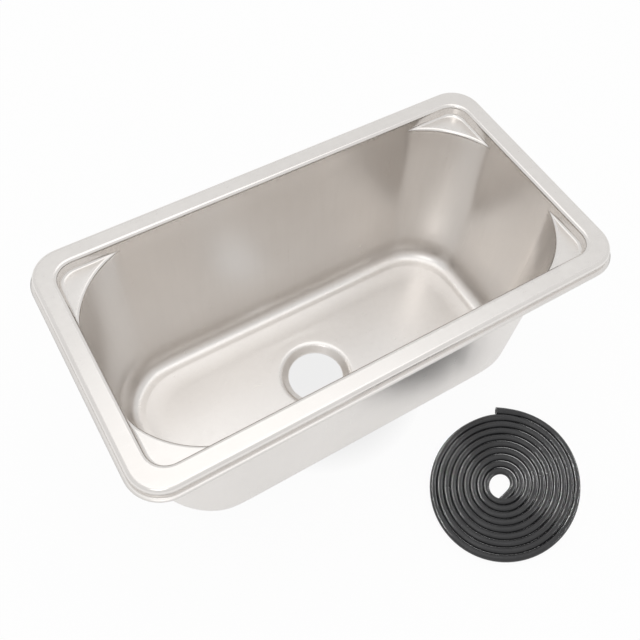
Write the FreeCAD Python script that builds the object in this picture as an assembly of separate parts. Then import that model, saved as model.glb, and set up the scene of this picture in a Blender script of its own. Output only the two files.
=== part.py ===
import FreeCAD, Part
import math
import os

os.makedirs("parts", exist_ok=True)

V = FreeCAD.Vector

# Sheet and overall height
sheet = 0.8
total_height = 148.0
overrun = 5.0
tiny = 0.001

# Rim, measured over its outer lip
rim_length = 325.0
rim_width = 174.0
rim_corner_radius = 22.0
rim_height = 8.5
lip_reach = 2.2
lip_bend_radius = 0.8
shoulder_radius = 2.7

# Pocket inside the rim, with a flat shelf in each corner
flange_width = 15.3
flange_roll_radius = 2.5
pocket_corner_radius = 12.0
shelf_depth = 8.7
shelf_foot_radius = 2.5
shelf_lip_radius = 2.0

# Bowl wall, which leaves the pocket wall at each corner
bowl_corner_radius = 62.0
bowl_corner_angle = 18.0
bowl_blend_radius = 18.0
collar_depth = 14.0
wall_draw_x = 2.4
wall_draw_y = 5.8
bowl_foot_corner_radius = 54.0
bowl_foot_blend_radius = 18.0

# Bottom of the bowl: a round foot, then a shallow fall to the flat floor
wall_foot_radius = 16.0
ledge_width = 17.5
step_slope = 7.0
step_share_of_room = 0.37
bend_share_of_step = 0.15
step_corner_radius = 37.0
step_blend_radius = 20.0

# Drain recess
drain_offset_x = -4.0
drain_offset_y = -1.1
drain_hole_radius = 20.6
drain_mouth_radius = 25.8
drain_seat_radius = 22.3
drain_lip_radius = 4.0
drain_foot_radius = 1.0
recess_depth = 4.9

# Sealing strip, a soft tube that lies coiled in front of the sink
strip_diameter = 4.2
strip_bore = 2.4
strip_bore_depth = 4.0
strip_sides = 8
strip_turns = 9.25
strip_pitch = 4.89
strip_long_radius = 56.9
strip_short_radius = 51.8
strip_centre_x = 67.4
strip_centre_y = -140.0
strip_drift_x = -0.30
strip_drift_y = -0.08
strip_axis_angle = 20.8
strip_start_angle = 61.7
strip_tail_radius = 15.0
strip_tail_angle = 38.0
strip_tail_length = 6.5
arcs_per_turn = 4
gap_samples_per_turn = 90

# Half sizes of the outlines, inside the sheet
skirt_half_x = rim_length / 2 - lip_reach
skirt_half_y = rim_width / 2 - lip_reach
pocket_half_x = rim_length / 2 - flange_width
pocket_half_y = rim_width / 2 - flange_width
foot_half_x = pocket_half_x - wall_draw_x
foot_half_y = pocket_half_y - wall_draw_y
step_half_x = foot_half_x - ledge_width
step_half_y = foot_half_y - ledge_width
drain_reach = drain_mouth_radius + abs(drain_offset_x) + abs(drain_offset_y) + 2 * sheet

# The step takes its share of the room between the ledge and the drain
step_run = step_share_of_room * (step_half_y - abs(drain_offset_y) - drain_mouth_radius)
step_height = step_run * math.tan(math.radians(step_slope))
step_bend_radius = bend_share_of_step * step_run / math.tan(math.radians(step_slope / 2))

# Heights above the surface that the sink stands on
rim_top = total_height
lip_bottom = rim_top - rim_height
shelf_top = rim_top - shelf_depth
collar_bottom = rim_top - collar_depth
drain_seat_top = sheet
floor_top = drain_seat_top + recess_depth
ledge_top = floor_top + step_height


# Wires and solids from outlines

def closed_wire(arcs):
    """A closed wire through arcs in order, with straight lines between them."""
    edges = []
    for index, (start, middle, end) in enumerate(arcs):
        edges.append(Part.Arc(start, middle, end).toShape())
        following = arcs[(index + 1) % len(arcs)][0]
        if end.distanceToPoint(following) > tiny:
            edges.append(Part.LineSegment(end, following).toShape())
    return Part.Wire(edges)


def arc_about(centre, radius, first_angle, last_angle):
    """Start, middle and end of an arc, with its angles in degrees."""
    points = []
    for angle in (first_angle, (first_angle + last_angle) / 2, last_angle):
        turned = math.radians(angle)
        points.append(centre + V(radius * math.cos(turned), radius * math.sin(turned), 0))
    return points


def mirrored_quadrants(arcs):
    """The arcs of the first quadrant, repeated around the centre, anticlockwise."""
    everything = []
    for sign_x, sign_y in ((1, 1), (-1, 1), (-1, -1), (1, -1)):
        quadrant = [[V(p.x * sign_x, p.y * sign_y, p.z) for p in arc] for arc in arcs]
        if sign_x * sign_y < 0:
            quadrant = [arc[::-1] for arc in quadrant[::-1]]
        everything += quadrant
    return everything


def rounded_outline(half_x, half_y, radius, z):
    """A rectangle with round corners."""
    centre = V(half_x - radius, half_y - radius, z)
    return closed_wire(mirrored_quadrants([arc_about(centre, radius, 0, 90)]))


def bowl_outline(half_x, half_y, radius, blend, grow, z):
    """A rectangle whose wide corner arcs meet the sides at an angle, through small blends."""
    back = radius * math.cos(math.radians(bowl_corner_angle))
    reach = math.sqrt((radius - blend) ** 2 - (back - blend) ** 2)
    turn = math.degrees(math.atan2(reach, back - blend))
    corner_x = half_x - back
    corner_y = half_y - back
    side_blend = arc_about(V(half_x - blend, corner_y + reach, z), blend + grow, 0, turn)
    corner = arc_about(V(corner_x, corner_y, z), radius + grow, turn, 90 - turn)
    end_blend = arc_about(V(corner_x + reach, half_y - blend, z), blend + grow, 90 - turn, 90)
    return closed_wire(mirrored_quadrants([side_blend, corner, end_blend]))


def prism(wire, height):
    """A solid that stands on a closed wire."""
    return Part.Face(wire).extrude(V(0, 0, height))


def between(lower, upper):
    """A solid between two outlines alike, with flat sides between their straight lines."""
    faces = [Part.Face(lower), Part.Face(upper)]
    for low, high in zip(lower.Edges, upper.Edges):
        if isinstance(low.Curve, Part.Line):
            corners = [vertex.Point for vertex in low.Vertexes + high.Vertexes[::-1]]
            faces.append(Part.Face(Part.makePolygon(corners + corners[:1])))
        else:
            faces.append(Part.makeRuledSurface(low, high))
    shell = Part.Shell(faces)
    shell.sewShape()
    return Part.Solid(shell).removeSplitter()


def edges_at(shape, z, half_x, half_y):
    """The edges at one height that lie within a half length and a half width."""
    found = []
    for edge in shape.Edges:
        box = edge.BoundBox
        level = abs(box.ZMin - z) < tiny and abs(box.ZMax - z) < tiny
        reach_x = max(abs(box.XMin), abs(box.XMax))
        reach_y = max(abs(box.YMin), abs(box.YMax))
        if level and reach_x < half_x and reach_y < half_y:
            found.append(edge)
    return found


# Sink shell: each space is made once as the face that shows and once grown by the sheet

def rim_block(grow):
    """The rim as a solid block with its round shoulder, shrunk by the sheet for the inside."""
    top = rim_top - grow
    corner = rim_corner_radius - lip_reach - grow
    outline = rounded_outline(skirt_half_x - grow, skirt_half_y - grow, corner, lip_bottom)
    block = prism(outline, top - lip_bottom)
    return block.makeFillet(shoulder_radius - grow, edges_at(block, top, rim_length, rim_width))


def make_rim():
    """The rim, with a thin flat lip bent out around its foot, which lies on the worktop."""
    lip = prism(rounded_outline(rim_length / 2, rim_width / 2, rim_corner_radius, lip_bottom), sheet)
    rim = rim_block(0).fuse(lip)
    outer_bend = edges_at(rim, lip_bottom + sheet, skirt_half_x + tiny, skirt_half_y + tiny)
    rim = rim.makeFillet(lip_bend_radius, outer_bend).cut(rim_block(sheet))
    inner_bend = edges_at(rim, lip_bottom, skirt_half_x, skirt_half_y)
    return rim.makeFillet(lip_bend_radius + sheet, inner_bend)


def pocket_space(grow, top):
    """The shallow space inside the rim, down to the corner shelves."""
    corner = pocket_corner_radius + grow
    bottom = shelf_top - grow
    outline = rounded_outline(pocket_half_x + grow, pocket_half_y + grow, corner, bottom)
    space = prism(outline, top - bottom)
    return space.makeFillet(shelf_foot_radius + grow, edges_at(space, bottom, rim_length, rim_width))


def collar_space(grow):
    """The straight top of the bowl, which opens in a round lip where it meets the shelves."""
    level = shelf_top - grow
    rise = shelf_foot_radius + grow
    throat = prism(waist_outline(grow), level - collar_bottom)
    slab = Part.makeBox(rim_length, rim_width, rise, V(-rim_length / 2, -rim_width / 2, level))
    flared = slab.fuse(throat).removeSplitter()
    lip = edges_at(flared, level, pocket_half_x + lip_reach, pocket_half_y + lip_reach)
    flared = flared.makeFillet(shelf_lip_radius - grow, lip)
    mouth = prism(waist_outline(shelf_lip_radius), level + rise - collar_bottom)
    pocket = rounded_outline(pocket_half_x + grow, pocket_half_y + grow,
                             pocket_corner_radius + grow, collar_bottom)
    walls = prism(pocket, level + rise - collar_bottom)
    return flared.common(mouth).common(walls)


def waist_outline(grow):
    """The outline of the bowl just below the shelves."""
    return bowl_outline(pocket_half_x, pocket_half_y, bowl_corner_radius,
                        bowl_blend_radius, grow, collar_bottom)


def bowl_space(grow):
    """The deep space below the collar, with walls that draw in towards a round foot."""
    level = ledge_top - grow
    foot = bowl_outline(foot_half_x, foot_half_y, bowl_foot_corner_radius,
                        bowl_foot_blend_radius, grow, level)
    walls = between(foot, waist_outline(grow))
    return walls.makeFillet(wall_foot_radius + grow, edges_at(walls, level, rim_length, rim_width))


def step_space(grow):
    """The lower pan of the floor, with sides that fall gently."""
    spread = grow * math.tan(math.radians(step_slope / 2))
    level = floor_top - grow
    floor = bowl_outline(step_half_x, step_half_y, step_corner_radius,
                         step_blend_radius, spread - step_run, level)
    mouth = bowl_outline(step_half_x, step_half_y, step_corner_radius,
                         step_blend_radius, spread, ledge_top - grow)
    pan = between(floor, mouth)
    return pan.makeFillet(step_bend_radius + grow, edges_at(pan, level, rim_length, rim_width))


def drain_space(grow):
    """The round recess for the waste fitting."""
    foot = V(drain_offset_x, drain_offset_y, drain_seat_top - grow)
    return Part.makeCone(drain_seat_radius + grow, drain_mouth_radius + grow, recess_depth, foot)


def well_space(grow, top):
    """All of the space that holds water, from the drain seat up to a given height."""
    parts = [collar_space(grow), pocket_space(grow, top), step_space(grow), drain_space(grow)]
    well = bowl_space(grow).fuse(parts).removeSplitter()
    brow = edges_at(well, ledge_top - grow, step_half_x + sheet, step_half_y + sheet)
    well = well.makeFillet(step_bend_radius - grow, brow)
    mouth = edges_at(well, floor_top - grow, drain_reach, drain_reach)
    well = well.makeFillet(drain_lip_radius - grow, mouth)
    seat = edges_at(well, drain_seat_top - grow, drain_reach, drain_reach)
    return well.makeFillet(drain_foot_radius + grow, seat)


def make_sink_shell():
    """One pressed sheet: a rim with its lip, a pocket with four shelves, and the bowl."""
    underside = rim_top - sheet
    pressed = make_rim().fuse(well_space(sheet, underside + sheet / 2))
    pressed = pressed.cut(well_space(0, rim_top + overrun))
    below = V(drain_offset_x, drain_offset_y, -overrun / 2)
    hole = Part.makeCylinder(drain_hole_radius, sheet + overrun, below)
    pressed = pressed.cut(hole).removeSplitter()
    inner_x = pocket_half_x + flange_roll_radius
    inner_y = pocket_half_y + flange_roll_radius
    pressed = pressed.makeFillet(flange_roll_radius - sheet, edges_at(pressed, underside, inner_x, inner_y))
    pressed = pressed.makeFillet(flange_roll_radius, edges_at(pressed, rim_top, inner_x, inner_y))
    return pressed


# Sealing strip: an oval spiral that runs in from the outer end, then a straighter tail

def strip_point(turn):
    """A point of the strip's centre line, after some turns from the outer end."""
    axis = math.radians(strip_axis_angle)
    angle = math.radians(strip_start_angle) - axis - 2 * math.pi * turn
    along = (strip_long_radius - strip_pitch * turn) * math.cos(angle)
    across = (strip_short_radius - strip_pitch * turn) * math.sin(angle)
    x = strip_centre_x + strip_drift_x * turn + along * math.cos(axis) - across * math.sin(axis)
    y = strip_centre_y + strip_drift_y * turn + along * math.sin(axis) + across * math.cos(axis)
    return V(x, y, strip_diameter / 2)


def strip_heading(turn):
    """The direction in which the strip runs there."""
    return (strip_point(turn + tiny) - strip_point(turn - tiny)).normalize()


def arc_from(start, heading, end):
    """The arc that leaves a point along a heading and ends at another point."""
    chord = end - start
    aside = heading - chord * (heading.dot(chord) / chord.dot(chord))
    half_turn = math.atan2(heading.cross(chord).Length, heading.dot(chord))
    rise = chord.Length / 2 * math.tan(half_turn / 2)
    return Part.Arc(start, (start + end) / 2 + aside.normalize() * rise, end).toShape()


def two_arcs(start, heading, end, last_heading):
    """Two arcs that share a tangent between two points with given headings."""
    chord = end - start
    along = chord.dot(heading + last_heading)
    spread = 2 * (1 - heading.dot(last_heading))
    reach = (math.sqrt(along ** 2 + spread * chord.dot(chord)) - along) / spread
    joint = (start + heading * reach + end - last_heading * reach) / 2
    return [arc_from(start, heading, joint), arc_from(end, last_heading * -1, joint)]


def strip_path():
    """The whole centre line: a straight start, the turns, and the tail in the middle."""
    start = strip_point(0)
    edges = [Part.LineSegment(start - strip_heading(0) * strip_diameter, start).toShape()]
    steps = round(strip_turns * arcs_per_turn)
    for step in range(steps):
        first = step / arcs_per_turn
        last = (step + 1) / arcs_per_turn
        edges += two_arcs(strip_point(first), strip_heading(first),
                          strip_point(last), strip_heading(last))
    heading = strip_heading(strip_turns)
    inward = V(heading.y, -heading.x, 0)
    centre = strip_point(strip_turns) + inward * strip_tail_radius
    turned = FreeCAD.Rotation(V(0, 0, 1), -strip_tail_angle)
    half_turned = FreeCAD.Rotation(V(0, 0, 1), -strip_tail_angle / 2)
    middle = centre - half_turned.multVec(inward) * strip_tail_radius
    end = centre - turned.multVec(inward) * strip_tail_radius
    edges.append(Part.Arc(strip_point(strip_turns), middle, end).toShape())
    edges.append(Part.LineSegment(end, end + turned.multVec(heading) * strip_tail_length).toShape())
    return Part.Wire(edges)


def strip_solid(path):
    """The strip along its centre line, with flat sides and one of them down."""
    start = path.Edges[0].valueAt(path.Edges[0].FirstParameter)
    upward = V(0, 0, 1)
    aside = strip_heading(0).cross(upward)
    corner_radius = strip_diameter / 2 / math.cos(math.pi / strip_sides)
    corners = []
    for side in range(strip_sides + 1):
        angle = 2 * math.pi * (side + 0.5) / strip_sides
        offset = upward * math.cos(angle) + aside * math.sin(angle)
        corners.append(start + offset * corner_radius)
    pipe = Part.BRepOffsetAPI.MakePipeShell(path)
    pipe.add(Part.makePolygon(corners))
    pipe.build()
    pipe.makeSolid()
    return pipe.shape()


def least_gap(path):
    """The least clear distance between the turns, measured on points of the centre line."""
    spacing = strip_long_radius * 2 * math.pi / gap_samples_per_turn
    points = path.discretize(Distance=spacing)
    skip = 2 * math.ceil(strip_diameter / spacing) + 1
    least = rim_length
    for index, point in enumerate(points):
        for other in points[index + skip:]:
            least = min(least, point.distanceToPoint(other))
    return least - strip_diameter


def make_sealing_strip():
    """The coiled strip, with square ends that show its bore."""
    path = strip_path()
    print("strip length", round(path.Length), "least gap", round(least_gap(path), 2))
    strip = strip_solid(path)
    first = path.Edges[0]
    last = path.Edges[-1]
    outer_end = first.valueAt(first.FirstParameter)
    inner_end = last.valueAt(last.LastParameter)
    into_outer = strip_heading(0)
    into_inner = last.tangentAt(last.LastParameter) * -1
    for end, inward in ((outer_end, into_outer), (inner_end, into_inner)):
        strip = strip.cut(Part.makeCylinder(strip_bore / 2, strip_bore_depth, end, inward))
    return strip


for name, make in (("sink_shell", make_sink_shell), ("sealing_strip", make_sealing_strip)):
    shape = make()
    shape.exportStep(os.path.join("parts", name + ".step"))
    print(name, shape.isValid(), len(shape.Solids), len(shape.Faces), round(shape.Volume))
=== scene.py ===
import bpy
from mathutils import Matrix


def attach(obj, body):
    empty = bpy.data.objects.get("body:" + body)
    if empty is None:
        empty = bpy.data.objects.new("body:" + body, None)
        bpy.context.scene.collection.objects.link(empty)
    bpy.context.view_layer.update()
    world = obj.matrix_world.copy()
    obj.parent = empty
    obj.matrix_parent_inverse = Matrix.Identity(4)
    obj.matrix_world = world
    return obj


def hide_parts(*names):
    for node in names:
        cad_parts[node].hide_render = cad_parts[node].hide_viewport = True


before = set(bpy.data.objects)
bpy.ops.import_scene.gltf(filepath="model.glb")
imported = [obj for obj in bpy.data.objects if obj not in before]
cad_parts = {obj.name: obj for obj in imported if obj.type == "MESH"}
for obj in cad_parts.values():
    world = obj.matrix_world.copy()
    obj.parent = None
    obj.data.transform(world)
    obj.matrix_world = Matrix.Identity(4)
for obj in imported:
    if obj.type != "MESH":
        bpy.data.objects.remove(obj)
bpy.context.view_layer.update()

import bpy
import math
import numpy as np
from mathutils import Matrix, Vector


# Camera: stands off the near left corner of the sink and looks steeply down into the bowl.
# It is tipped a little to one side, so that the far rim runs up to the right.
camera_spot = (-0.16394, -0.22826, 0.52440)
camera_heading = math.radians(-35.06)
camera_tilt = math.radians(32.08)
camera_tip = math.radians(4.87)

lens = bpy.data.cameras.new("camera")
lens.sensor_width = 36
lens.lens = 44.0
camera = bpy.data.objects.new("camera", lens)
bpy.context.scene.collection.objects.link(camera)
camera.matrix_world = (Matrix.Translation(camera_spot) @ Matrix.Rotation(camera_heading, 4, "Z")
                       @ Matrix.Rotation(camera_tilt, 4, "X") @ Matrix.Rotation(camera_tip, 4, "Z"))
bpy.context.scene.camera = camera


# Sink shell: one sheet of stainless steel, deep drawn in a press and left with a satin finish.
# The rim, the pocket with its four corner shelves, the bowl and the drain recess are all one skin.
# The skin is made as closed rings, from the edge of the lip in to the drain, and then gets its thickness.
sheet = 0.0008
rim_top = 0.148
rim_half = (0.1625, 0.0870)
rim_corner = 0.0220
rim_height = 0.0085
lip_reach = 0.0022
lip_bend = 0.0008
shoulder = 0.0027
flange = 0.0153
flange_roll = 0.0025
flat_shares = (0.02, 0.25, 0.5, 0.75, 0.98)
pocket_corner = 0.0120
shelf_depth = 0.0087
shelf_foot = 0.0025
shelf_lip = 0.0020
shelf_foot_gap = 0.0004
shelf_lip_gap = 0.0005
shelf_flat_shares = (0.33, 0.66)
shelf_bend_share = 0.45
shelf_end_width = 0.006
shelf_end_bend = 0.0006
shelf_end_sink = 0.0003
least_shelf_width = 1e-7
bowl_corner = 0.0620
bowl_blend = 0.0180
bowl_corner_angle = math.radians(18)
collar_depth = 0.0140
wall_draw = (0.0024, 0.0058)
foot_corner = 0.0540
foot_blend = 0.0180
least_foot_blend = 0.012
foot_softness = 0.009
outline_softness = 0.0015
wall_foot = 0.0125
wall_foot_height = 0.0210
step_height = 0.0012
ledge_width = 0.0015
step_width = 0.0140
step_lead = 0.6
floor_margin = 0.001
floor_fall = 0.0002
recess_depth = 0.0046
drain_spot = (-0.0040, -0.0011)
drain_hole = 0.0206
drain_seat = 0.0208
drain_mouth = 0.0262
drain_lip = 0.0065
drain_foot = 0.0003
drain_spread = 1.5

side_stations = (36, 12)
corner_stations = 52
outline_points = 2048
corner_points = 60
bowl_corner_points = 100
blend_points = 24
lip_steps = 6
bend_steps = 12
shelf_bend_steps = 8
wall_steps = 16
foot_steps = 24
ledge_steps = 4
step_steps = 20
floor_steps = 12
drain_lip_steps = 10
drain_foot_steps = 8

steel_dark = (0.82, 0.79, 0.762, 1)
steel_light = (0.88, 0.851, 0.822, 1)
rolling_grain = {"size": 0.00035, "stretch": (60, 1, 1), "detail": 2}
drawing_marks = {"size": 0.0045, "stretch": (1, 1, 14), "detail": 3}
steel_bloom = {"size": 0.035, "stretch": (1, 1, 1), "detail": 2}
noise_range = (0.3, 0.7)
tone_range = (0.6, 1)
rolling_wear = (-0.02, 0.02)
drawing_wear = (-0.025, 0.025)
plain_to_bend_roughness = (0.31, 0.22)
bend_turns = (0.12, 0.7)
bend_window = 0.0018
rolling_strength = 0.12
rolling_depth = 0.00002


def arc_points(centre, radius, start, end, count):
    """Points spread along an arc, ends included."""
    turns = [start + (end - start) * i / count for i in range(count + 1)]
    return [(centre[0] + radius * math.cos(t), centre[1] + radius * math.sin(t)) for t in turns]


def along_path(path, count):
    """Points spread evenly along a path, ends included."""
    lengths = [0]
    for a, b in zip(path, path[1:]):
        lengths.append(lengths[-1] + math.dist(a, b))
    points = []
    step = 0
    for i in range(count + 1):
        reach = lengths[-1] * i / count
        while step < len(path) - 2 and lengths[step + 1] < reach:
            step += 1
        share = (reach - lengths[step]) / (lengths[step + 1] - lengths[step])
        a, b = path[step], path[step + 1]
        points.append((a[0] + (b[0] - a[0]) * share, a[1] + (b[1] - a[1]) * share))
    return points


def all_round(corner):
    """A whole outline from the corner of the first quadrant: it runs from the end wall to the side wall."""
    outline = []
    for sign_x, sign_y in ((1, 1), (-1, 1), (-1, -1), (1, -1)):
        turned = [(x * sign_x, y * sign_y) for x, y in corner]
        if sign_x * sign_y < 0:
            turned = turned[::-1]
        if outline:
            count = side_stations[0] if sign_x * sign_y < 0 else side_stations[1]
            outline += along_path([outline[-1], turned[0]], count)[1:-1]
        outline += turned
    outline += along_path([outline[-1], outline[0]], side_stations[1])[1:-1]
    return outline


def plain_outline(half, radius, tips):
    """A rectangle with round corners, with its stations between the tips of the corner shelves."""
    arc = arc_points((half[0] - radius, half[1] - radius), radius, 0, math.pi / 2, corner_points)
    path = [(half[0], tips[1]), *arc, (tips[0], half[1])]
    return all_round(along_path(path, corner_stations))


def bowl_corner_path(half, radius, blend, angle):
    """The wide corner of the bowl with the small blends that join it to the walls."""
    back = radius * math.cos(angle)
    reach = math.sqrt((radius - blend) ** 2 - (back - blend) ** 2)
    turn = math.atan2(reach, back - blend)
    back_turn = math.pi / 2 - turn
    corner = (half[0] - back, half[1] - back)
    path = arc_points((half[0] - blend, corner[1] + reach), blend, 0, turn, blend_points)
    path += arc_points(corner, radius, turn, back_turn, bowl_corner_points)[1:]
    path += arc_points((corner[0] + reach, half[1] - blend), blend, back_turn, math.pi / 2, blend_points)[1:]
    return path


def inward(outline):
    """The direction to the inside at each station of an outline."""
    count = len(outline)
    directions = []
    for i in range(count):
        a, b = outline[i - 1], outline[(i + 1) % count]
        along = (b[0] - a[0], b[1] - a[1])
        length = math.hypot(*along)
        directions.append((-along[1] / length, along[0] / length))
    return directions


def softened(outline, softness):
    """An outline with its changes of curve smoothed out, as the sheet smooths them in the press."""
    points = np.array(outline + outline[:1])
    lengths = np.concatenate(([0], np.cumsum(np.hypot(*np.diff(points, axis=0).T))))
    even = np.arange(outline_points) / outline_points * lengths[-1]
    spread = np.minimum(even, lengths[-1] - even)
    weight = np.fft.rfft(np.exp(-0.5 * (spread / softness) ** 2))
    smooth = []
    for axis in (0, 1):
        dense = np.interp(even, lengths, points[:, axis])
        dense = np.fft.irfft(np.fft.rfft(dense) * weight / weight[0].real, outline_points)
        smooth.append(np.interp(lengths[:-1], np.append(even, lengths[-1]), np.append(dense, dense[0])))
    return [(float(x), float(y)) for x, y in zip(*smooth)]


def raised(outline, z):
    """An outline as points at one height."""
    return [(x, y, z) for x, y in outline]


def eased(share):
    """A share from nought to one with soft ends."""
    share = max(0, min(1, share))
    return share * share * (3 - 2 * share)


def rim_rings(tips):
    """The lip, its bend, the skirt, the shoulder and the flat flange, from the outside in."""
    lip_top = rim_top - rim_height + sheet
    flat_start = lip_reach + shoulder
    flat_end = flange - flange_roll
    profile = [(0, lip_top)]
    profile += arc_points((lip_reach - lip_bend, lip_top + lip_bend), lip_bend, -math.pi / 2, 0, lip_steps)
    profile += arc_points((flat_start, rim_top - shoulder), shoulder, math.pi, math.pi / 2, bend_steps)
    profile += [(flat_start + (flat_end - flat_start) * share, rim_top) for share in flat_shares]
    profile += arc_points((flat_end, rim_top - flange_roll), flange_roll, math.pi / 2, 0, bend_steps)
    rings = []
    for inset, z in profile:
        half = (rim_half[0] - inset, rim_half[1] - inset)
        share = max(0, min(1, (inset - flat_start) / (flat_end - flat_start)))
        radius = (rim_corner - inset) * (1 - share) + (pocket_corner + flange - inset) * share
        rings.append(raised(softened(plain_outline(half, radius, tips), outline_softness), z))
    return rings


def shelf_rings(pocket, waist):
    """From the pocket wall over the corner shelf to the collar; where there is no shelf, straight down."""
    shelf_top = rim_top - shelf_depth
    collar_bottom = rim_top - collar_depth
    quarter = [math.pi / 2 * i / shelf_bend_steps for i in range(shelf_bend_steps + 1)]
    lines = []
    for p, w in zip(pocket, waist):
        width = math.dist(p, w)
        toward = ((w[0] - p[0]) / width, (w[1] - p[1]) / width) if width > least_shelf_width else (0, 0)
        open_share = eased(width / shelf_end_width)
        foot_x = min(shelf_foot, shelf_bend_share * width)
        lip_x = min(shelf_lip, shelf_bend_share * width)
        foot_z = shelf_end_bend + (shelf_foot - shelf_end_bend) * open_share
        lip_z = shelf_end_bend + (shelf_lip - shelf_end_bend) * open_share
        sink_z = shelf_end_sink * (1 - open_share)
        path = [(0, shelf_top + foot_z + shelf_foot_gap)]
        for turn in quarter:
            path.append((foot_x * (1 - math.cos(turn)), shelf_top + foot_z * (1 - math.sin(turn))))
        for share in shelf_flat_shares:
            path.append((foot_x + (width - foot_x - lip_x) * share, shelf_top - sink_z * share))
        for turn in quarter:
            lip_drop = lip_z * (1 - math.cos(turn))
            path.append((width - lip_x + lip_x * math.sin(turn), shelf_top - sink_z - lip_drop))
        low = path[-1][1]
        path += [(width, low - shelf_lip_gap), (width, (low + collar_bottom) / 2), (width, collar_bottom)]
        lines.append([(p[0] + toward[0] * reach, p[1] + toward[1] * reach, z) for reach, z in path])
    return [list(ring) for ring in zip(*lines)]


def wall_rings(waist, foot, ledge_top):
    """The walls of the bowl, which draw in, and the round foot that runs out on the ledge."""
    collar_bottom = rim_top - collar_depth
    lines = []
    for w, f, d in zip(waist, foot, inward(foot)):
        draw = -((w[0] - f[0]) * d[0] + (w[1] - f[1]) * d[1])
        slant = math.atan(draw / (collar_bottom - ledge_top) * wall_foot_height / wall_foot)
        run = wall_foot * math.tan((math.pi / 2 - slant) / 2)
        foot_line = []
        for i in range(foot_steps + 1):
            turn = (math.pi / 2 - slant) * (1 - i / foot_steps)
            reach = run - wall_foot * math.sin(turn)
            rise = wall_foot_height * (1 - math.cos(turn))
            foot_line.append((f[0] + d[0] * reach, f[1] + d[1] * reach, ledge_top + rise))
        top, low = (*w, collar_bottom), foot_line[0]
        wall = [tuple(a + (b - a) * i / wall_steps for a, b in zip(top, low)) for i in range(1, wall_steps)]
        lines.append(wall + foot_line)
    return [list(ring) for ring in zip(*lines)]


def inset_outline(foot_half, inset):
    """The outline of the floor at a distance from the foot of the wall."""
    half = (foot_half[0] - inset, foot_half[1] - inset)
    blend = max(foot_blend - inset, least_foot_blend)
    path = bowl_corner_path(half, foot_corner - inset, blend, bowl_corner_angle)
    return softened(all_round(along_path(path, corner_stations)), foot_softness)


def between_outlines(outer, inner, share):
    """An outline part of the way from one outline to another."""
    return [(a[0] + (b[0] - a[0]) * share, a[1] + (b[1] - a[1]) * share) for a, b in zip(outer, inner)]


def drain_profile(recess_top):
    """The lip of the drain recess, its wall and its seat, as reach from the middle and height."""
    slant = math.atan2(drain_mouth - drain_seat, recess_depth)
    lip_run = drain_lip * math.tan((math.pi / 2 - slant) / 2)
    foot_run = drain_foot * math.tan((math.pi / 2 - slant) / 2)
    seat_top = recess_top - recess_depth
    profile = []
    for i in range(drain_lip_steps + 1):
        turn = (math.pi / 2 - slant) * i / drain_lip_steps
        profile.append((drain_mouth + lip_run - drain_lip * math.sin(turn),
                        recess_top - drain_lip * (1 - math.cos(turn))))
    for i in range(drain_foot_steps + 1):
        turn = (math.pi / 2 - slant) * (1 - i / drain_foot_steps)
        profile.append((drain_seat - foot_run + drain_foot * math.sin(turn),
                        seat_top + drain_foot * (1 - math.cos(turn))))
    return profile + [(drain_hole, seat_top)]


def floor_rings(foot_half, ledge_top, floor_top, recess_top):
    """The ledge, the shallow step, the floor with its fall and the drain recess down to its open hole."""
    rings = []
    for i in range(1, ledge_steps):
        rings.append(raised(inset_outline(foot_half, wall_foot + ledge_width * i / ledge_steps), ledge_top))
    start = wall_foot + ledge_width
    for i in range(step_steps + 1):
        share = i / step_steps
        z = ledge_top - (ledge_top - floor_top) * eased(share ** step_lead)
        rings.append(raised(inset_outline(foot_half, start + step_width * share), z))
    edge = inset_outline(foot_half, start + step_width + floor_margin)
    mouth_reach = drain_mouth + drain_lip
    circle = []
    for x, y in edge:
        turn = math.atan2((y - drain_spot[1]) * drain_spread, x - drain_spot[0])
        circle.append((drain_spot[0] + mouth_reach * math.cos(turn),
                       drain_spot[1] + mouth_reach * math.sin(turn)))
    for i in range(floor_steps + 1):
        share = i / floor_steps
        z = floor_top - (floor_top - recess_top) * eased(share)
        rings.append(raised(between_outlines(edge, circle, share), z))
    middle = [drain_spot] * len(circle)
    for reach, z in drain_profile(recess_top):
        rings.append(raised(between_outlines(middle, circle, reach / mouth_reach), z))
    return rings


def sink_skin():
    """The upper face of the sheet as rings of points, from the edge of the lip to the drain hole."""
    pocket_half = (rim_half[0] - flange, rim_half[1] - flange)
    foot_half = (pocket_half[0] - wall_draw[0], pocket_half[1] - wall_draw[1])
    recess_top = sheet + recess_depth
    floor_top = recess_top + floor_fall
    ledge_top = floor_top + step_height
    corner = bowl_corner_path(pocket_half, bowl_corner, bowl_blend, bowl_corner_angle)
    tips = (corner[-1][0], corner[0][1])
    waist = all_round(along_path(corner, corner_stations))
    pocket = softened(plain_outline(pocket_half, pocket_corner, tips), outline_softness)
    foot = inset_outline(foot_half, 0)
    return (rim_rings(tips) + shelf_rings(pocket, waist) + wall_rings(waist, foot, ledge_top)
            + floor_rings(foot_half, ledge_top, floor_top, recess_top))


def ring_mesh(name, rings, capped=False):
    """A smooth mesh of square faces between closed rings, with its two ends closed if it is capped."""
    count = len(rings[0])
    points = [point for ring in rings for point in ring]
    faces = []
    for ring in range(len(rings) - 1):
        for i in range(count):
            a = ring * count + i
            b = ring * count + (i + 1) % count
            faces.append([a, b, b + count, a + count])
    if capped:
        faces = [list(range(count))[::-1], *faces, list(range(len(points) - count, len(points)))]
    mesh = bpy.data.meshes.new(name)
    mesh.from_pydata(points, [], faces)
    for face in mesh.polygons:
        face.use_smooth = True
    return mesh


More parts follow.
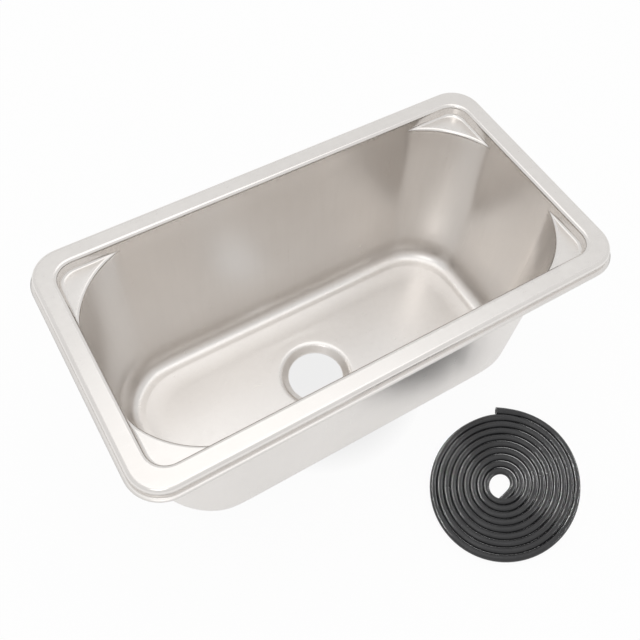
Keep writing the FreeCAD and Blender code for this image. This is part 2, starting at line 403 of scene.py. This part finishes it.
def polish_of_bends(rings):
    """How far the sheet turns up or down around each point, where the die rubs it smooth."""
    curves = np.array(rings)
    polish = np.zeros(curves.shape[:2])
    for station in range(curves.shape[1]):
        line = curves[:, station]
        reach = np.concatenate(([0], np.cumsum(np.linalg.norm(np.diff(line, axis=0), axis=1))))
        slopes = []
        for start, end in ((-bend_window, 0), (0, bend_window)):
            step = [np.interp(reach + end, reach, axis) - np.interp(reach + start, reach, axis)
                    for axis in line.T]
            slopes.append(np.arctan2(step[2], np.hypot(step[0], step[1])))
        whole = (reach > bend_window) & (reach < reach[-1] - bend_window)
        polish[whole, station] = np.abs(slopes[1] - slopes[0])[whole]
    return polish.ravel()


def grain_texture(tree, place, size, stretch, detail):
    """A noise of one grain size in metres, drawn out along each axis."""
    spread = tree.nodes.new("ShaderNodeMapping")
    spread.inputs["Scale"].default_value = [1 / (size * s) for s in stretch]
    noise = tree.nodes.new("ShaderNodeTexNoise")
    noise.inputs["Scale"].default_value = 1
    noise.inputs["Detail"].default_value = detail
    tree.links.new(place.outputs["Object"], spread.inputs["Vector"])
    tree.links.new(spread.outputs["Vector"], noise.inputs["Vector"])
    return noise.outputs["Fac"]


def fitted(tree, value, new_range, old_range=noise_range):
    """A value brought from one range to another."""
    fit = tree.nodes.new("ShaderNodeMapRange")
    fit.inputs["From Min"].default_value = old_range[0]
    fit.inputs["From Max"].default_value = old_range[1]
    fit.inputs["To Min"].default_value = new_range[0]
    fit.inputs["To Max"].default_value = new_range[1]
    tree.links.new(value, fit.inputs["Value"])
    return fit.outputs["Result"]


def two_tones(tree, value, dark, light):
    """A colour between two tones, led by a texture's value."""
    mix = tree.nodes.new("ShaderNodeMix")
    mix.data_type = "RGBA"
    mix.inputs["A"].default_value = dark
    mix.inputs["B"].default_value = light
    tree.links.new(value, mix.inputs["Factor"])
    return mix.outputs["Result"]


def joined(tree, operation, first, second):
    """Two values brought together; the second may be a plain number."""
    node = tree.nodes.new("ShaderNodeMath")
    node.operation = operation
    tree.links.new(first, node.inputs[0])
    if isinstance(second, float):
        node.inputs[1].default_value = second
    else:
        tree.links.new(second, node.inputs[1])
    return node.outputs[0]


def add_relief(tree, surface, height, strength, depth):
    """A fine relief on a surface, with its depth in metres."""
    bump = tree.nodes.new("ShaderNodeBump")
    bump.inputs["Strength"].default_value = strength
    bump.inputs["Distance"].default_value = depth
    tree.links.new(height, bump.inputs["Height"])
    tree.links.new(bump.outputs["Normal"], surface.inputs["Normal"])


def satin_steel():
    """Bare stainless steel: rolling grain along the sheet, drawing marks, and bends polished by the die."""
    material = bpy.data.materials.new("satin_steel")
    material.use_nodes = True
    tree = material.node_tree
    surface = tree.nodes["Principled BSDF"]
    surface.inputs["Metallic"].default_value = 1
    place = tree.nodes.new("ShaderNodeTexCoord")
    polish = tree.nodes.new("ShaderNodeAttribute")
    polish.attribute_name = "polish"
    rolling = grain_texture(tree, place, **rolling_grain)
    drawing = grain_texture(tree, place, **drawing_marks)
    bloom = grain_texture(tree, place, **steel_bloom)
    tone = joined(tree, "MULTIPLY", fitted(tree, bloom, tone_range), fitted(tree, drawing, tone_range))
    tree.links.new(two_tones(tree, tone, steel_dark, steel_light), surface.inputs["Base Color"])
    worn = joined(tree, "ADD", fitted(tree, rolling, rolling_wear), fitted(tree, drawing, drawing_wear))
    smooth = fitted(tree, polish.outputs["Fac"], plain_to_bend_roughness, bend_turns)
    tree.links.new(joined(tree, "ADD", smooth, worn), surface.inputs["Roughness"])
    add_relief(tree, surface, rolling, rolling_strength, rolling_depth)
    return material


skin = sink_skin()
sink = bpy.data.objects.new("sink_sheet", ring_mesh("sink_sheet", skin))
bpy.context.scene.collection.objects.link(sink)
polished = sink.data.attributes.new("polish", "FLOAT", "POINT")
polished.data.foreach_set("value", polish_of_bends(skin).astype(np.float32))
thickness = sink.modifiers.new("sheet", "SOLIDIFY")
thickness.thickness = sheet
thickness.offset = -1
sink.data.materials.append(satin_steel())
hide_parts("sink_shell")
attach(sink, "sink")


# Sealing strip: a soft tube of black rubber, extruded in one length of 1.86 m and wound in a flat spiral.
# It lies loose beside the sink until it goes into the channel under the rim. It has no fitting, only two
# plain cut ends that show its bore, the outer one a little wider than the rest.
strip_diameter = 0.0047
strip_bore = 0.0026
strip_turns = 9.36
strip_long_pitch = 0.00526
strip_short_pitch = 0.00464
strip_long_radius = 0.0581
strip_short_radius = 0.0511
strip_centre = (0.0674, -0.1402)
strip_drift = (-0.00025, 0)
strip_axis = math.radians(19.4)
strip_start = math.radians(61.7)
strip_tail_turn = math.radians(8)
strip_tail_radius = 0.030
strip_tail_length = 0.0058
strip_flare = 0.0013
strip_flare_reach = 0.025

points_per_turn = 24
tail_points = 3
route_resolution = 4
strip_sides = 24
bore_steps = 5
cut_angle = math.radians(50)

rubber_dark = (0.008, 0.008, 0.0085, 1)
rubber_light = (0.017, 0.017, 0.018, 1)
rubber_bloom = {"size": 0.012, "stretch": (1, 1, 1), "detail": 3}
rubber_waves = {"size": 0.004, "stretch": (1, 1, 1), "detail": 2}
rubber_pores = {"size": 0.0004, "stretch": (1, 1, 1), "detail": 2}
rubber_roughness = (0.16, 0.26)
pore_roughness = (-0.03, 0.03)
pore_height = (0, 0.05)
rubber_strength = 0.5
rubber_depth = 0.0003


def strip_point(turn):
    """A point of the spiral's route, after some turns from the outer end."""
    angle = strip_start - strip_axis - 2 * math.pi * turn
    outward = 1 / math.cos(math.pi / points_per_turn)
    along = (strip_long_radius - strip_long_pitch * turn) * outward * math.cos(angle)
    across = (strip_short_radius - strip_short_pitch * turn) * outward * math.sin(angle)
    middle_x = strip_centre[0] + strip_drift[0] * turn
    middle_y = strip_centre[1] + strip_drift[1] * turn
    return Vector((middle_x + along * math.cos(strip_axis) - across * math.sin(strip_axis),
                   middle_y + along * math.sin(strip_axis) + across * math.cos(strip_axis),
                   strip_diameter / 2))


def strip_route():
    """The route's points: the turns, and a tail that runs in to the middle."""
    steps = round(strip_turns * points_per_turn)
    points = [strip_point(step / points_per_turn) for step in range(steps + 1)]
    heading = (points[-1] - points[-2]).normalized()
    for _ in range(tail_points):
        heading.rotate(Matrix.Rotation(-strip_tail_turn / tail_points, 3, "Z"))
        points.append(points[-1] + heading * strip_tail_radius * strip_tail_turn / tail_points)
    points.append(points[-1] + heading * strip_tail_length)
    return points


def route_line(name, points):
    """The strip's centre line, one smooth spline."""
    curve = bpy.data.curves.new(name, "CURVE")
    curve.dimensions = "3D"
    spline = curve.splines.new("NURBS")
    spline.points.add(len(points) - 1)
    for place, point in zip(spline.points, points):
        place.co = (*point, 1)
    spline.order_u = 3
    spline.use_endpoint_u = True
    spline.resolution_u = route_resolution
    holder = bpy.data.objects.new(name, curve)
    bpy.context.scene.collection.objects.link(holder)
    bpy.context.view_layer.update()
    seen = holder.evaluated_get(bpy.context.evaluated_depsgraph_get())
    mesh = bpy.data.meshes.new_from_object(seen)
    line = [vertex.co.copy() for vertex in mesh.vertices]
    bpy.data.objects.remove(holder)
    bpy.data.meshes.remove(mesh)
    return line


def tube_mesh(name, line):
    """The tube along its line, with its bore open at both ends and closed further in."""
    last = len(line) - 1
    stations = [(i, strip_bore) for i in range(bore_steps, -1, -1)]
    stations += [(i, strip_diameter) for i in range(len(line))]
    stations += [(last - i, strip_bore) for i in range(bore_steps + 1)]
    upward = Vector((0, 0, 1))
    rings = []
    for i, width in stations:
        flare = strip_flare * eased(1 - (line[i] - line[0]).length / strip_flare_reach)
        centre = line[i] + upward * flare / 2
        heading = (line[min(i + 1, last)] - line[max(i - 1, 0)]).normalized()
        aside = heading.cross(upward).normalized()
        ring = []
        for side in range(strip_sides):
            angle = 2 * math.pi * side / strip_sides
            ring.append(centre + (aside * math.cos(angle) + upward * math.sin(angle)) * (width + flare) / 2)
        rings.append(ring)
    mesh = ring_mesh(name, rings, capped=True)
    mesh.set_sharp_from_angle(angle=cut_angle)
    return mesh


def black_rubber():
    """Soft black rubber with an extruded skin: a little uneven, and duller where it has been handled."""
    material = bpy.data.materials.new("black_rubber")
    material.use_nodes = True
    tree = material.node_tree
    surface = tree.nodes["Principled BSDF"]
    place = tree.nodes.new("ShaderNodeTexCoord")
    bloom = grain_texture(tree, place, **rubber_bloom)
    waves = grain_texture(tree, place, **rubber_waves)
    pores = grain_texture(tree, place, **rubber_pores)
    tree.links.new(two_tones(tree, bloom, rubber_dark, rubber_light), surface.inputs["Base Color"])
    worn = joined(tree, "ADD", fitted(tree, bloom, rubber_roughness), fitted(tree, pores, pore_roughness))
    tree.links.new(worn, surface.inputs["Roughness"])
    height = joined(tree, "ADD", waves, fitted(tree, pores, pore_height))
    add_relief(tree, surface, height, rubber_strength, rubber_depth)
    return material


strip_line = route_line("strip_route", strip_route())
strip = bpy.data.objects.new("sealing_strip_coil", tube_mesh("sealing_strip_coil", strip_line))
bpy.context.scene.collection.objects.link(strip)
strip.data.materials.append(black_rubber())
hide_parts("sealing_strip")
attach(strip, "strip")


# Studio: a white table under an even white sky, one broad lamp overhead and a small one at the near side.
# Two long lamps light the strip alone, for the two bright lines that run along each of its turns.
table_reach = 6
table_drop = 0.0002
table_white = (0.95, 0.95, 0.95, 1)
# Painted shade: the table's glow is 0.87 within 6 cm of the sink's middle and rises to 1 at 8 cm, a painted
# shadow under the sink.
table_glow_and_painted_shade = (0.87, 1)
painted_shade_reach = (0.06, 0.08)
table_direct_share = 0.93
table_mirrored_share = 0.60
lamp_aim = Vector((0, 0, 0.1))
lamp_distance = 1.2
strip_lamp_width = 0.14
sky_white = (1, 1, 1, 1)
sky_strength = 0.80


def white_table():
    """White paper that looks white from above, and in the steel, and still takes a soft shadow; its glow is
    dimmed under the sink, a painted shade seen through the drain hole.
    """
    material = bpy.data.materials.new("white_table")
    material.use_nodes = True
    tree = material.node_tree
    tree.nodes.clear()
    output = tree.nodes.new("ShaderNodeOutputMaterial")
    paper = tree.nodes.new("ShaderNodeBsdfDiffuse")
    paper.inputs["Color"].default_value = table_white
    glow = tree.nodes.new("ShaderNodeEmission")
    place = tree.nodes.new("ShaderNodeTexCoord")
    reach = tree.nodes.new("ShaderNodeVectorMath")
    reach.operation = "LENGTH"
    tree.links.new(place.outputs["Object"], reach.inputs[0])
    # Painted shade: the glow is dimmed near the middle of the table, under the sink, standing in for its
    # shadow.
    strength = fitted(tree, reach.outputs["Value"], table_glow_and_painted_shade, painted_shade_reach)
    tree.links.new(strength, glow.inputs["Strength"])
    rays = tree.nodes.new("ShaderNodeLightPath")
    direct = joined(tree, "MAXIMUM", rays.outputs["Is Camera Ray"], rays.outputs["Is Transmission Ray"])
    direct_share = joined(tree, "MULTIPLY", direct, table_direct_share)
    mirrored_share = joined(tree, "MULTIPLY", rays.outputs["Is Glossy Ray"], table_mirrored_share)
    mix = tree.nodes.new("ShaderNodeMixShader")
    tree.links.new(joined(tree, "MAXIMUM", direct_share, mirrored_share), mix.inputs[0])
    tree.links.new(paper.outputs[0], mix.inputs[1])
    tree.links.new(glow.outputs[0], mix.inputs[2])
    tree.links.new(mix.outputs[0], output.inputs[0])
    return material


table_mesh = bpy.data.meshes.new("table")
table_corners = [(x * table_reach, y * table_reach, 0) for x, y in ((-1, -1), (1, -1), (1, 1), (-1, 1))]
table_mesh.from_pydata(table_corners, [], [(0, 1, 2, 3)])
table_mesh.materials.append(white_table())
table = bpy.data.objects.new("table", table_mesh)
table.location.z = -table_drop
bpy.context.scene.collection.objects.link(table)


def lamp_direction(heading, height):
    """The direction of a compass heading and a height above the table, both in degrees."""
    heading, height = math.radians(heading), math.radians(height)
    level = math.cos(height)
    return Vector((math.sin(heading) * level, math.cos(heading) * level, math.sin(height)))


def flat_lamp(name, width, length, glow):
    """A flat lamp as bright as its glow all over its face."""
    data = bpy.data.lights.new(name, "AREA")
    data.shape = "RECTANGLE"
    data.size = width
    data.size_y = length
    data.energy = glow * width * length * math.pi
    lamp = bpy.data.objects.new(name, data)
    bpy.context.scene.collection.objects.link(lamp)
    return lamp


def soft_lamp(name, heading, height, width, glow):
    """A square lamp that looks at the middle of the sink."""
    lamp = flat_lamp(name, width, width, glow)
    toward = lamp_direction(heading, height)
    lamp.location = lamp_aim + toward * lamp_distance
    lamp.rotation_mode = "QUATERNION"
    lamp.rotation_quaternion = toward.to_track_quat("Z", "Y")


def strip_lamp(name, start, end, glow):
    """A long lamp from one heading and height to another, which lights the strip alone."""
    coil_middle = Vector((*strip_centre, 0))
    start, end = [coil_middle + lamp_direction(*place) * lamp_distance for place in (start, end)]
    along = end - start
    middle = (start + end) / 2
    facing = (middle - coil_middle).normalized()
    upright = (along - facing * along.dot(facing)).normalized()
    turned = Matrix((upright.cross(facing), upright, facing)).transposed().to_4x4()
    lamp = flat_lamp(name, strip_lamp_width, along.length, glow)
    lamp.data.cycles.use_multiple_importance_sampling = False
    lamp.matrix_world = Matrix.Translation(middle) @ turned
    lamp.light_linking.receiver_collection = strip_only
    lamp.light_linking.blocker_collection = strip_only


strip_only = bpy.data.collections.new("strip_only")
strip_only.objects.link(strip)
soft_lamp("lamp_overhead", 35, 86, 1.0, 0.52)
soft_lamp("lamp_near_side", 227, 52, 0.4, 1.2)
strip_lamp("strip_lamp_left", (274, 44), (11, 16), 24)
strip_lamp("strip_lamp_right", (88, 19), (140, 29), 13)

sky = bpy.data.worlds.new("sky")
bpy.context.scene.world = sky
sky.use_nodes = True
sky.node_tree.nodes["Background"].inputs["Color"].default_value = sky_white
sky.node_tree.nodes["Background"].inputs["Strength"].default_value = sky_strength
bpy.context.scene.view_settings.view_transform = "Standard"
